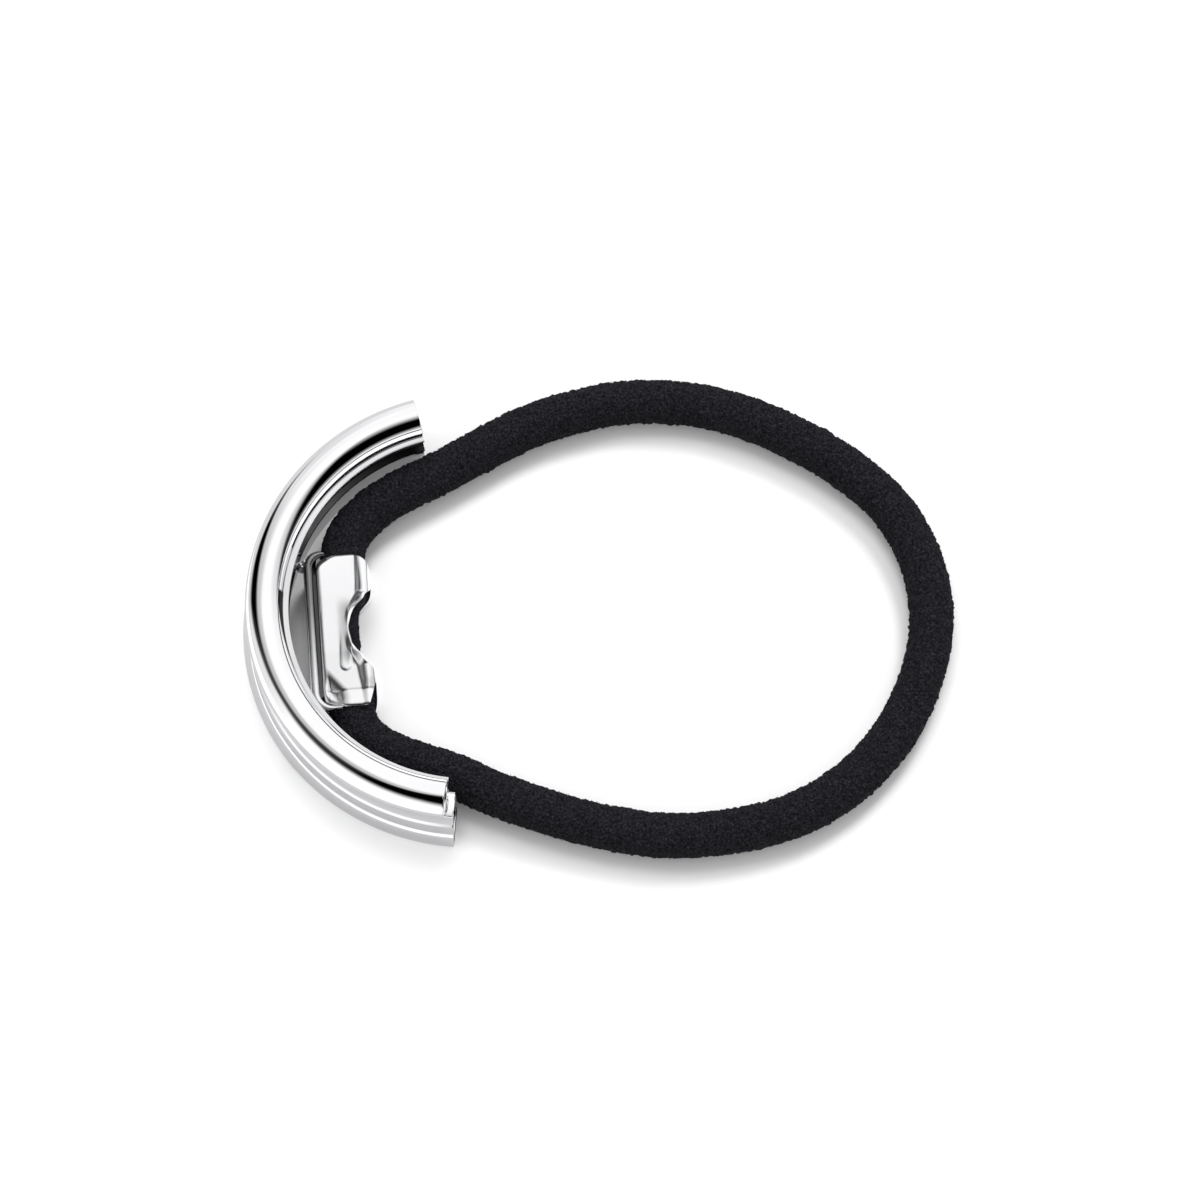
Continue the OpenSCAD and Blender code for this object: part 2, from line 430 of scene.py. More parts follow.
def makeNap():
    # weave and nap of the cover: values only
    group = bpy.data.node_groups.new("napWeave", "ShaderNodeTree")
    face = group.interface
    face.new_socket(name="UV", in_out="INPUT", socket_type="NodeSocketVector")
    face.new_socket(name="Position", in_out="INPUT", socket_type="NodeSocketVector")
    face.new_socket(name="Speck", in_out="OUTPUT", socket_type="NodeSocketFloat")
    face.new_socket(name="Height", in_out="OUTPUT", socket_type="NodeSocketFloat")
    inNode = group.nodes.new("NodeGroupInput")
    outNode = group.nodes.new("NodeGroupOutput")
    speck = noiseTexture(group, clothLook["speck"])
    group.links.new(inNode.outputs["Position"], speck.inputs["Vector"])
    lump = group.nodes.new("ShaderNodeTexVoronoi")
    lump.inputs["Scale"].default_value = clothLook["lumpScale"]
    group.links.new(inNode.outputs["UV"], lump.inputs["Vector"])
    height = mathNode(group, "MULTIPLY", lump.outputs["Distance"], clothLook["lumpShare"])
    height = mathNode(group, "ADD", height, speck.outputs[0])
    group.links.new(speck.outputs[0], outNode.inputs["Speck"])
    group.links.new(height, outNode.inputs["Height"])
    return group


napWeave = makeNap()


def makeElasticCloth():
    mat, tree, bsdf = newMaterial("elasticCloth")
    coords = tree.nodes.new("ShaderNodeTexCoord")
    nap = tree.nodes.new("ShaderNodeGroup")
    nap.node_tree = napWeave
    tree.links.new(coords.outputs["UV"], nap.inputs["UV"])
    tree.links.new(coords.outputs["Object"], nap.inputs["Position"])
    tone = tree.nodes.new("ShaderNodeValToRGB")
    stops = tone.color_ramp.elements
    low, middle, high = clothLook["tones"]
    for stop, look in ((stops[0], low), (stops[1], high)):
        stop.position = look["at"]
        stop.color = look["color"]
    stops.new(middle["at"]).color = middle["color"]
    tree.links.new(nap.outputs["Speck"], tone.inputs["Fac"])
    tree.links.new(tone.outputs["Color"], bsdf.inputs["Base Color"])
    bump = tree.nodes.new("ShaderNodeBump")
    bump.inputs["Strength"].default_value = clothLook["bump"]
    bump.inputs["Distance"].default_value = clothLook["bumpDepth"]
    tree.links.new(nap.outputs["Height"], bump.inputs["Height"])
    tree.links.new(bump.outputs["Normal"], bsdf.inputs["Normal"])
    for socket, value in clothLook["surface"].items():
        bsdf.inputs[socket].default_value = value
    return mat


elasticCloth = makeElasticCloth()


def addFibre(bm, root, out, lean, length, width):
    # a pointed three-sided fibre
    side = lean.cross(out)
    if side.length < 1e-6:
        return
    side = side.normalized() * width
    tall = side.cross(lean).normalized() * width
    base = [bm.verts.new(root + side), bm.verts.new(root - side * 0.5 + tall),
            bm.verts.new(root - side * 0.5 - tall)]
    top = bm.verts.new(root + lean * length)
    bm.faces.new((base[0], base[1], base[2]))
    for k in range(3):
        bm.faces.new((base[(k + 1) % 3], base[k], top))


def makeFuzz():
    # short tufts that roughen the cover, and a few longer loose fibres
    tufts, fibres = cordLook["tufts"], cordLook["fibres"]
    bm = bmesh.new()
    bm.loops.layers.uv.verify()
    last = len(cordFrames) - 2
    for number in range(tufts["count"] + fibres["count"]):
        i = random.randint(1, last)
        angle = random.uniform(0, 2 * math.pi)
        p, along, level, up = cordFrames[i]
        out = level * math.cos(angle) + up * math.sin(angle)
        root = p + out * (coverReach(p, out) - cordLook["rootDepth"])
        if root.z < cordLook["lowestRoot"]:
            continue
        lean = (along * random.uniform(-1, 1) + up.cross(out) * random.uniform(-1, 1)
                + out * random.uniform(0.5, 1.2)).normalized()
        if number < tufts["count"]:
            length = random.uniform(*tufts["length"]) * mm
            addFibre(bm, root, out, lean, length, random.uniform(*tufts["width"]) * mm)
        else:
            addFibre(bm, root, out, lean, random.uniform(*fibres["length"]) * mm,
                     fibres["width"] * mm)
    bmesh.ops.recalc_face_normals(bm, faces=bm.faces)
    return bm


elasticCord = finishPiece("elasticCord", makeCord(), elasticCloth)
elasticFuzz = finishPiece("elasticFuzz", makeFuzz(), elasticCloth)
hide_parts("elastic_cord")
print("elastic made, length in mm", round(cordLength / mm, 1))


# Metal: sections in millimetres as radius from the arc's centre and height over the base

cuffLook = {
    "wall": 0.35,
    "endRound": 0.1,
    "tube": {"rho": 18.8, "z": 7.3, "r": 1.75, "sides": 72},
    "strip": {"inner": 16.6, "width": 0.7, "top": 6.88, "depth": 0.36, "rise": 0.03,
              "soft": 0.06},
    # section of the bead on the shell's shoulder: a crease above, a rounded edge, a flat below
    "bead": [
        {"rho": 17.5, "z": 4.95},
        {"rho": 17.12, "z": 4.68},
        {"rho": 16.74, "z": 4.3},
        {"rho": 16.7, "z": 4.15},
        {"rho": 16.78, "z": 4.0},
        {"rho": 17.2, "z": 3.9},
        {"rho": 17.5, "z": 4.2},
    ],
    "shell": {"wallRho": 17.15, "shoulderR": 1.2, "shoulderZ": 4.45, "topR": 0.15, "lowRho": 20.56,
              "lowR": 0.6, "extra": 2.29},
    # outer side of the lower shell from the top down: steep walls with two sloping ledges between
    "steps": [
        {"rho": 19.95, "z": 5.45},
        {"rho": 20.09, "z": 4.15},
        {"rho": 20.17, "z": 3.95},
        {"rho": 20.37, "z": 3.77},
        {"rho": 20.42, "z": 3.58},
        {"rho": 20.47, "z": 2.3},
        {"rho": 20.52, "z": 2.13},
        {"rho": 20.72, "z": 1.92},
        {"rho": 20.79, "z": 1.74},
    ],
}


def sweep(bm, sweepDeg):
    # turns the section standing over +X about the arc's centre
    turn = Matrix.Rotation(math.radians(arc["farEnd"]), 4, "Z")
    bmesh.ops.transform(bm, matrix=turn, verts=bm.verts)
    geom = bm.verts[:] + bm.edges[:] + bm.faces[:]
    bmesh.ops.spin(bm, geom=geom, cent=(0, 0, 0), axis=(0, 0, 1), dvec=(0, 0, 0),
                   angle=math.radians(sweepDeg), steps=arc["steps"], use_merge=False,
                   use_duplicate=False)
    bmesh.ops.translate(bm, verts=bm.verts, vec=(arc["centreX"], arc["centreY"], 0))


def arcOfPoints(rho, z, r, fromDeg, toDeg, count):
    points = []
    for i in range(count + 1):
        a = math.radians(fromDeg + (toDeg - fromDeg) * i / count)
        points.append((rho + r * math.cos(a), z + r * math.sin(a)))
    return points


def closedOutline(bm, points):
    verts = [bm.verts.new((x * mm, 0, z * mm)) for x, z in points]
    for a, b in zip(verts, verts[1:] + verts[:1]):
        bm.edges.new((a, b))


def giveWall(bm, wall):
    bmesh.ops.recalc_face_normals(bm, faces=bm.faces)
    bmesh.ops.solidify(bm, geom=bm.faces[:], thickness=wall * mm)
    bmesh.ops.recalc_face_normals(bm, faces=bm.faces)


def softenEnds(bm, width):
    # rounds the edges of the faces at both ends of the arc
    squareEnough = 0.9

    def isEnd(face):
        spot = face.calc_center_median()
        around = Vector((arc["centreY"] - spot.y, spot.x - arc["centreX"], 0)).normalized()
        return abs(face.normal.dot(around)) > squareEnough

    bm.normal_update()
    ends = {face for face in bm.faces if isEnd(face)}
    edges = [e for e in bm.edges if sum(face in ends for face in e.link_faces) == 1]
    bmesh.ops.bevel(bm, geom=edges, offset=width * mm, segments=3, profile=0.5, affect="EDGES",
                    material=-1)


def makeTopTube():
    tube = cuffLook["tube"]
    bm = bmesh.new()
    place = Matrix.Translation((tube["rho"] * mm, 0, tube["z"] * mm))
    place = place @ Matrix.Rotation(math.pi / 2, 4, "X")
    bmesh.ops.create_circle(bm, segments=tube["sides"], radius=tube["r"] * mm, matrix=place)
    sweep(bm, arc["sweep"])
    giveWall(bm, cuffLook["wall"])
    softenEnds(bm, cuffLook["endRound"])
    return bm


def makeRimStrip():
    strip = cuffLook["strip"]
    bm = bmesh.new()
    x0, x1 = strip["inner"], strip["inner"] + strip["width"]
    z0, z1 = strip["top"] - strip["depth"], strip["top"]
    soft = strip["soft"]
    points = (arcOfPoints(x0 + soft, z1 - soft, soft, 180, 106, 4)
              + [(x1, z1 + strip["rise"]), (x1, z0 + strip["rise"])]
              + arcOfPoints(x0 + soft, z0 + soft, soft, 270, 180, 4))
    closedOutline(bm, points)
    sweep(bm, arc["sweep"])
    return closed(bm)


def makeInnerBead():
    bm = bmesh.new()
    closedOutline(bm, [(spot["rho"], spot["z"]) for spot in cuffLook["bead"]])
    sweep(bm, arc["sweep"])
    return closed(bm)


def makeLowerShell():
    s = cuffLook["shell"]
    bm = bmesh.new()
    first = cuffLook["steps"][0]
    points = arcOfPoints(s["wallRho"] + s["shoulderR"], s["shoulderZ"], s["shoulderR"], 180, 90, 14)
    points += arcOfPoints(first["rho"] - s["topR"], first["z"], s["topR"], 80, 10, 8)
    points += [(step["rho"], step["z"]) for step in cuffLook["steps"]]
    points += arcOfPoints(s["lowRho"], s["lowR"], s["lowR"], 8, -90, 7)
    points += [(s["wallRho"] + 0.15, 0), (s["wallRho"], 0.15)]
    closedOutline(bm, points)
    sweep(bm, arc["sweep"] + s["extra"])
    giveWall(bm, cuffLook["wall"])
    softenEnds(bm, cuffLook["endRound"])
    return bm


topTube = finishPiece("topTube", makeTopTube(), tubeMetal, sharp=40)
rimStrip = finishPiece("rimStrip", makeRimStrip(), stripMetal, sharp=40)
innerBead = finishPiece("innerBead", makeInnerBead(), polishedMetal, sharp=9)
lowerShell = finishPiece("lowerShell", makeLowerShell(), polishedMetal, sharp=25)
print("cuff swept")


# Clamp: one sheet folded round the cord. The grid runs from the lower lip round the back to the
# upper lip, and each row ends where the lobes and the waist leave it. Sizes in millimetres, x from
# the arc's centre and y along the clamp from its middle.

clampLook = {
    "sheet": 0.45,
    "nearEnd": -7.45,
    "farEnd": 7.0,
    "half": 2.275,        # from the cord's axis to the middle of the sheet
    "backFold": 0.24,     # radius of the fold at the middle of the sheet
    "upperTip": {"reach": 2.275, "fold": 0.6},
    "lowerTip": {"reach": 3.2, "fold": 1.6},
    "rows": 170,
    "columns": 204,
    # along the clamp, where the free edges of the upper and lower jaws lie
    "edge": [
        {"y": -7.45, "upper": -9.8, "lower": -9.9},
        {"y": -6.9, "upper": -9.65, "lower": -9.4},
        {"y": -6.1, "upper": -9.48, "lower": -9.15},
        {"y": -4.8, "upper": -9.27, "lower": -9.1},
        {"y": -4.0, "upper": -9.5, "lower": -9.13},
        {"y": -3.1, "upper": -10.15, "lower": -9.32},
        {"y": -2.2, "upper": -10.85, "lower": -9.75},
        {"y": -1.1, "upper": -11.2, "lower": -10.6},
        {"y": 0.3, "upper": -11.3, "lower": -11.1},
        {"y": 1.7, "upper": -10.87, "lower": -11.0},
        {"y": 2.5, "upper": -10.05, "lower": -10.6},
        {"y": 3.3, "upper": -9.38, "lower": -10.0},
        {"y": 4.1, "upper": -9.25, "lower": -9.25},
        {"y": 5.2, "upper": -9.27, "lower": -9.01},
        {"y": 6.2, "upper": -9.5, "lower": -9.005},
        {"y": 6.75, "upper": -9.95, "lower": -9.02},
        {"y": 7.0, "upper": -10.4, "lower": -9.08},
    ],
    # line along which the upper face steps up to its lip, how high and how wide the step is
    "lip": [
        {"y": -7.4, "x": -10.1, "rise": 0.06, "width": 0.5},
        {"y": -6.0, "x": -10.2, "rise": 0.12, "width": 0.6},
        {"y": -4.8, "x": -10.25, "rise": 0.26, "width": 0.9},
        {"y": -3.1, "x": -10.5, "rise": 0.3, "width": 1.0},
        {"y": -1.95, "x": -11.1, "rise": 0.2, "width": 1.0},
        {"y": 0.1, "x": -11.4, "rise": 0.0, "width": 1.0},
        {"y": 1.6, "x": -10.9, "rise": 0.2, "width": 1.0},
        {"y": 3.0, "x": -10.2, "rise": 0.34, "width": 0.9},
        {"y": 6.5, "x": -10.13, "rise": 0.26, "width": 0.65},
    ],
    "cornerRound": 1.5,
    "endPull": 0.75,      # how much of the corner's round shortens the clamp there
    # how far from its ends the upper face begins to turn down, over the cord and at the back
    "endTurn": {"least": 0.15, "more": 0.45, "fromX": 12.0, "toX": 13.3, "drop": 0.5},
    "topFromZ": 1.7,      # height over the cord's axis at which the pressed face begins
    "edgeRound": 0.07,
    # slopes along the upper face: the far lobe leans back, the near one forward, and the collar
    # back again
    "slopes": {"base": 0.05, "lean": 0.02, "farFrom": 2.6, "farFall": 0.02, "nearFrom": 2.4,
               "nearFall": 0.05, "collarY": -5.9, "collarLean": 0.15, "collarStep": 0.05,
               "stepFrom": -6.1, "stepTo": -5.8},
    # upturned edge of the waist
    "waist": {"x": -12.4, "y": -0.2, "rise": 0.13, "full": 1.8, "end": 3.6},
    # pad with a round end beside the waist
    "pad": {"x": -11.72, "lean": 0.06, "nearY": -3.6, "farY": -0.6, "endY": -3.62, "full": 0.3,
            "end": 0.62, "fadeFrom": -2.2, "fadeTo": 0.2, "rise": 0.06},
    # pit at the near corner: the lines of its upper edge and of its end, and where it begins
    "pit": {"sideX": -13.4, "sideY": -4.2, "sideWay": (0.77, 0.64), "sideFrom": -0.2, "sideTo": 1.3,
            "endX": -11.9, "endY": -6.0, "endWay": (0.92, 0.39), "endFrom": -0.6, "endTo": 0.9,
            "fromX": -14.0, "toX": -13.2, "depth": 0.4},
}


def tableValue(rows, key, column, at):
    # smooth curve through the rows of a table
    if at <= rows[0][key]:
        return rows[0][column]
    if at >= rows[-1][key]:
        return rows[-1][column]
    k = max(i for i in range(len(rows) - 1) if rows[i][key] <= at)
    a, b = rows[k], rows[k + 1]
    before, after = rows[max(k - 1, 0)], rows[min(k + 2, len(rows) - 1)]
    span = b[key] - a[key]
    slopeA = (b[column] - before[column]) / (b[key] - before[key]) * span
    slopeB = (after[column] - a[column]) / (after[key] - a[key]) * span
    t = (at - a[key]) / span
    return ((2 * t ** 3 - 3 * t * t + 1) * a[column] + (t ** 3 - 2 * t * t + t) * slopeA
            + (3 * t * t - 2 * t ** 3) * b[column] + (t ** 3 - t * t) * slopeB)


def runTo(x, tip):
    # length of sheet from the middle of the back to a place x on a jaw
    half, back = clampLook["half"], clampLook["backFold"]
    upright = half - back + back * math.pi / 2
    rel = x - cavityX
    if rel <= tip["reach"] - tip["fold"]:
        return upright + half - back + rel
    bend = min((rel - tip["reach"] + tip["fold"]) / tip["fold"], 1.0)
    return upright + half - back + tip["reach"] - tip["fold"] + tip["fold"] * math.asin(bend)


def foldPoint(run, side, tip):
    # place of the sheet's middle at a run along the fold from the middle of the back
    half, back = clampLook["half"], clampLook["backFold"]
    if run < half - back:
        return -half, run * side
    run -= half - back
    if run < back * math.pi / 2:
        a = run / back
        return -half + back - back * math.cos(a), (half - back + back * math.sin(a)) * side
    run -= back * math.pi / 2
    flat = half - back + tip["reach"] - tip["fold"]
    if run < flat:
        return -half + back + run, half * side
    a = (run - flat) / tip["fold"]
    x = tip["reach"] - tip["fold"] * (1 - math.sin(a))
    return x, (half - tip["fold"] * (1 - math.cos(a))) * side


def padHeight(x, y):
    pad = clampLook["pad"]
    middleX = pad["x"] + pad["lean"] * (min(max(y, pad["nearY"]), pad["farY"]) - pad["nearY"])
    away = math.hypot(x - middleX, min(y - pad["endY"], 0.0))
    fade = 1 - between(y, pad["fadeFrom"], pad["fadeTo"])
    return pad["rise"] * ((1 - between(away, pad["full"], pad["end"])) * fade)


def pitDepth(x, y):
    pit = clampLook["pit"]
    (sideX, sideY), (endX, endY) = pit["sideWay"], pit["endWay"]
    side = -(x - pit["sideX"]) * sideX - (y - pit["sideY"]) * sideY
    end = (x - pit["endX"]) * endX - (y - pit["endY"]) * endY
    onSide = between(side, pit["sideFrom"], pit["sideTo"])
    beforeEnd = 1 - between(end, pit["endFrom"], pit["endTo"])
    return pit["depth"] * (onSide * beforeEnd * between(x, pit["fromX"], pit["toX"]))


def pressedRelief(x, y):
    # how the upper face is pressed: a step up to its lip, slopes, the waist's edge, a pad and a pit
    at, rise, width = (tableValue(clampLook["lip"], "y", key, y) for key in ("x", "rise", "width"))
    slopes, waist = clampLook["slopes"], clampLook["waist"]
    rise = slopes["base"] + rise * between(x, at - width / 2, at + width / 2)
    rise += (slopes["lean"] * y - slopes["farFall"] * max(y - slopes["farFrom"], 0.0) ** 2
             - slopes["nearFall"] * max(-y - slopes["nearFrom"], 0.0))
    rise -= (slopes["collarLean"] * min(y - slopes["collarY"], 0.0)
             + slopes["collarStep"] * (1 - between(y, slopes["stepFrom"], slopes["stepTo"])))
    rise += (waist["rise"] * max(x - waist["x"], 0.0) ** 2
             * (1 - between(abs(y - waist["y"]), waist["full"], waist["end"])))
    return rise + padHeight(x, y) - pitDepth(x, y)


def makeCordClamp():
    look = clampLook
    bm = bmesh.new()
    bmesh.ops.create_grid(bm, x_segments=look["columns"], y_segments=look["rows"], size=0.5)
    back = cavityX - look["half"]
    middle = (look["nearEnd"] + look["farEnd"]) / 2
    halfLength = (look["farEnd"] - look["nearEnd"]) / 2
    corner, ends = look["cornerRound"], look["endTurn"]
    for v in bm.verts:
        y = look["nearEnd"] + (v.co.y + 0.5) * (look["farEnd"] - look["nearEnd"])
        s = v.co.x * 2
        upper = s >= 0
        tip = look["upperTip" if upper else "lowerTip"]
        full = runTo(tableValue(look["edge"], "y", "upper" if upper else "lower", y), tip)
        run = abs(s) * full
        x, z = foldPoint(run, 1 if upper else -1, tip)
        x += cavityX
        # corners at the back are round in plan, and turn down a little at the ends
        inset = max(corner - (x - back), 0.0)
        pull = look["endPull"] * (corner - math.sqrt(max(corner ** 2 - inset ** 2, 0.0)))
        y = middle + (y - middle) * (halfLength - pull) / halfLength
        if upper:
            top = between(z, look["topFromZ"], look["half"])
            z += pressedRelief(x, y) * top
            toEnd = halfLength - pull - abs(y - middle)
            turn = ends["least"] + ends["more"] * between(-x, ends["fromX"], ends["toX"])
            z -= ends["drop"] * turn * max(1 - toEnd / turn, 0.0) ** 2 * top
        v.co = placed((x, clampY + y, cavityZ + z))
    bmesh.ops.recalc_face_normals(bm, faces=bm.faces)
    return bm


def addSheet(piece, thickness, edgeRound):
    wall = piece.modifiers.new("sheet", "SOLIDIFY")
    wall.thickness = thickness * mm
    wall.offset = 0
    edge = piece.modifiers.new("edge", "BEVEL")
    edge.width = edgeRound * mm
    edge.segments = 3
    edge.limit_method = "ANGLE"
    edge.angle_limit = math.radians(50)


cordClamp = finishPiece("cordClamp", makeCordClamp(), pressedMetal)
addSheet(cordClamp, clampLook["sheet"], clampLook["edgeRound"])


# Back plate: an upright strip between the cuff and the clamp whose ends turn round the clamp

plateLook = {
    "crestX": -14.6,
    "left": 0.5,          # how far the rounded top reaches to either side of its crest
    "right": 0.3,
    "round": 0.4,
    "low": 0.4,
    "top": 5.2,
    "turn": 1.5,          # radius in plan of the turned ends
    "farY": 7.25,
    "nearY": -7.65,
    "farTail": -13.2,
    "nearTail": -12.3,
    "tailShare": 0.3,
    "lean": 0.008,        # how the crest climbs towards the far end
    "leanFromY": -1,
    "tailDrop": 0.15,
    "tailHeight": 0.5,    # how tall the near tail is
    "flatSide": 0.25,     # the lower this power, the flatter the plate's two sides
    "rings": 160,
    "sides": 40,
    "turnSteps": 12,
    "web": {"low": 0.7, "top": 3.2, "half": 6.0, "toX": -13.9},
}


def platePath():
    # plan of the plate's middle from its far tail to its near tail
    look = plateLook
    points = [(look["farTail"], look["farY"])]
    r, steps = look["turn"], look["turnSteps"]
    for fromDeg, middleY in ((90, look["farY"] - r), (180, look["nearY"] + r)):
        points += arcOfPoints(look["crestX"] + r, middleY, r, fromDeg, fromDeg + 90, steps)
    points.append((look["nearTail"], look["nearY"]))
    return points


def makeBackPlate():
    look = plateLook
    bm = bmesh.new()
    path, _ = evenPath([Vector((x, y, 0)) for x, y in platePath()], look["rings"])
    sides = look["sides"]
    bmesh.ops.create_grid(bm, x_segments=len(path) - 1, y_segments=sides, size=0.5)
    for v in bm.verts:
        i = round((v.co.x + 0.5) * (len(path) - 1))
        k = round((v.co.y + 0.5) * sides)
        along = (path[min(i + 1, len(path) - 1)] - path[max(i - 1, 0)]).normalized()
        inward = Vector((-along.y, along.x, 0))
        turned = between(path[i].x, look["crestX"] + 0.05, look["nearTail"] - 0.3)
        share = 1 + (look["tailShare"] - 1) * turned
        rise = look["top"] - look["tailHeight"] - look["low"]
        low = look["low"] + rise * between(turned, 0.0, 0.2)
        a = 2 * math.pi * k / sides
        across, upward = math.cos(a), math.sin(a)
        top = look["top"] - look["round"] * share - look["tailDrop"] * turned
        top += look["lean"] * max(path[i].y - look["leanFromY"], 0) ** 2 * (1 - turned)
        if upward < 0:
            across = math.copysign(abs(across) ** look["flatSide"], across)
            z = top + (top - low) * upward
        else:
            z = top + look["round"] * share * upward
        spot = path[i] + inward * (across * share * look["right" if across > 0 else "left"])
        v.co = placed((spot.x, clampY + spot.y, z))
    bmesh.ops.remove_doubles(bm, verts=bm.verts, dist=sameSpot)
    return closed(bm)


def makeSeam():
    # the dull solder that fills the foot of the gap between the plate and the clamp, coloured dark
    # grey as painted shade of that deep valley
    look, web = plateLook, plateLook["web"]
    bm = bmesh.new()
    middle = ((look["crestX"] + web["toX"]) / 2, clampY, (web["low"] + web["top"]) / 2)
    size = (web["toX"] - look["crestX"], 2 * web["half"], web["top"] - web["low"])
    place = Matrix.Translation(placed(middle)) @ Matrix.Diagonal((*[v * mm for v in size], 1))
    bmesh.ops.create_cube(bm, size=1, matrix=place)
    return bm


# Solder: a low bead at each end of the plate and two specks at the far one
solderBeads = [
    {"x": -15.3, "y": 6.3, "z": 4.4, "r": 0.45, "tall": 2.2},
    {"x": -15.0, "y": -6.6, "z": 4.3, "r": 0.45, "tall": 2.2},
    {"x": -14.95, "y": 6.5, "z": 5.3, "r": 0.2, "tall": 1.0},
    {"x": -15.2, "y": 6.05, "z": 5.2, "r": 0.2, "tall": 1.0},
]


def makeSolder():
    bm = bmesh.new()
    for bead in solderBeads:
        place = Matrix.Translation(placed((bead["x"], clampY + bead["y"], bead["z"])))
        place = place @ Matrix.Diagonal((1, 1, bead["tall"], 1))
        bmesh.ops.create_uvsphere(bm, u_segments=32, v_segments=20, radius=bead["r"] * mm,
                                  matrix=place)
    return bm


backPlate = finishPiece("backPlate", makeBackPlate(), plateMetal, sharp=50)
# painted shade: the solder web in the valley is dark grey
shadedSolderWeb = finishPiece("shadedSolderWeb", makeSeam(), webShadeMetal, sharp=30)
solder = finishPiece("solderBeads", makeSolder(), pressedMetal)
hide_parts("metal_cuff")
print("clamp folded")


# Floor, room and lights

roomLook = {
    "floor": (0.86, 0.86, 0.865),
    "floorRadius": 1.6,
    "floorSurface": {"Roughness": 0.9, "Specular IOR Level": 0.1},
    "mirrored": 1.29,     # strength of the tent where the metal mirrors it
    # strength of the floor where the metal mirrors it, with painted shade and painted light: "near"
    # darker in a ring about the cuff and behind it, "far" brighter elsewhere
    "floorMirrored": {"near": 0.7, "far": 1.29, "ringRho": 22.5 * mm, "from": 7.5 * mm,
                      "to": 10.5 * mm, "frontY": 12 * mm, "behindY": 18 * mm},
    "ambient": 0.82,      # strength of the tent as it lights the floor and the cord
    "lights": [
        {"name": "keyLight", "power": 2.0, "size": 0.2, "from": (0.26, 0.38, 0.53),
         "cuffShades": False},
        {"name": "topLight", "power": 1.5, "size": 0.3, "from": (0.0, 0.26, 0.64),
         "cuffShades": True},
    ],
    # The dark opening of the tent as an arch over the camera's side: along the compass from +X,
    # the height of its middle, how far to either side it is full dark, where it ends, how dark
    "arch": [
        {"compass": -180, "middle": 57, "full": 3, "end": 23, "dark": 0.90},
        {"compass": -160, "middle": 60, "full": 6, "end": 27, "dark": 0.95},
        {"compass": -145, "middle": 65, "full": 9, "end": 36, "dark": 1.0},
        {"compass": -115, "middle": 64, "full": 12, "end": 42, "dark": 1.0},
        {"compass": -90, "middle": 48, "full": 16, "end": 48, "dark": 1.0},
        {"compass": -70, "middle": 39, "full": 17, "end": 50, "dark": 1.0},
        {"compass": -28, "middle": 38, "full": 17, "end": 50, "dark": 1.0},
        {"compass": -15, "middle": 25, "full": 6, "end": 40, "dark": 1.0},
        {"compass": -5, "middle": 14, "full": 4, "end": 29, "dark": 0.97},
        {"compass": 6, "middle": 3, "full": 4, "end": 19, "dark": 0.95},
        {"compass": 20, "middle": 0, "full": 2, "end": 10, "dark": 0.0},
        {"compass": 115, "middle": 0, "full": 1, "end": 8, "dark": 0.0},
        {"compass": 126, "middle": 4, "full": 2, "end": 12, "dark": 0.85},
        {"compass": 136, "middle": 14, "full": 7, "end": 25, "dark": 1.0},
        {"compass": 146, "middle": 22, "full": 12, "end": 38, "dark": 1.0},
        {"compass": 156, "middle": 30, "full": 13, "end": 38, "dark": 1.0},
        {"compass": 168, "middle": 48, "full": 6, "end": 27, "dark": 0.90},
        {"compass": 180, "middle": 57, "full": 3, "end": 23, "dark": 0.90},
    ],
    # A fainter grey round it
    "haze": [
        {"compass": -180, "middle": 68, "full": 12, "end": 42, "dark": 0.50},
        {"compass": -150, "middle": 68, "full": 10, "end": 40, "dark": 0.45},
        {"compass": -115, "middle": 70, "full": 6, "end": 34, "dark": 0.30},
        {"compass": -90, "middle": 70, "full": 4, "end": 34, "dark": 0.15},
        {"compass": -35, "middle": 60, "full": 4, "end": 40, "dark": 0.10},
        {"compass": -20, "middle": 46, "full": 10, "end": 46, "dark": 0.62},
        {"compass": -5, "middle": 38, "full": 8, "end": 50, "dark": 0.42},
        {"compass": 10, "middle": 24, "full": 8, "end": 50, "dark": 0.25},
        {"compass": 25, "middle": 10, "full": 6, "end": 45, "dark": 0.12},
        {"compass": 45, "middle": 10, "full": 6, "end": 40, "dark": 0.02},
        {"compass": 100, "middle": 65, "full": 6, "end": 30, "dark": 0.03},
        {"compass": 115, "middle": 65, "full": 8, "end": 30, "dark": 0.20},
        {"compass": 130, "middle": 60, "full": 12, "end": 40, "dark": 0.40},
        {"compass": 145, "middle": 62, "full": 14, "end": 44, "dark": 0.46},
        {"compass": 160, "middle": 65, "full": 14, "end": 44, "dark": 0.48},
        {"compass": 180, "middle": 68, "full": 12, "end": 42, "dark": 0.50},
    ],
    # The far wall of the tent is a little darker low down
    "farWall": [
        {"compass": -180, "middle": 12, "full": 14, "end": 30, "dark": 0.2},
        {"compass": -165, "middle": 12, "full": 12, "end": 30, "dark": 0.0},
        {"compass": 92, "middle": 12, "full": 12, "end": 30, "dark": 0.0},
        {"compass": 112, "middle": 12, "full": 16, "end": 34, "dark": 0.26},
        {"compass": 150, "middle": 14, "full": 18, "end": 36, "dark": 0.28},
        {"compass": 180, "middle": 12, "full": 14, "end": 30, "dark": 0.2},
    ],
}


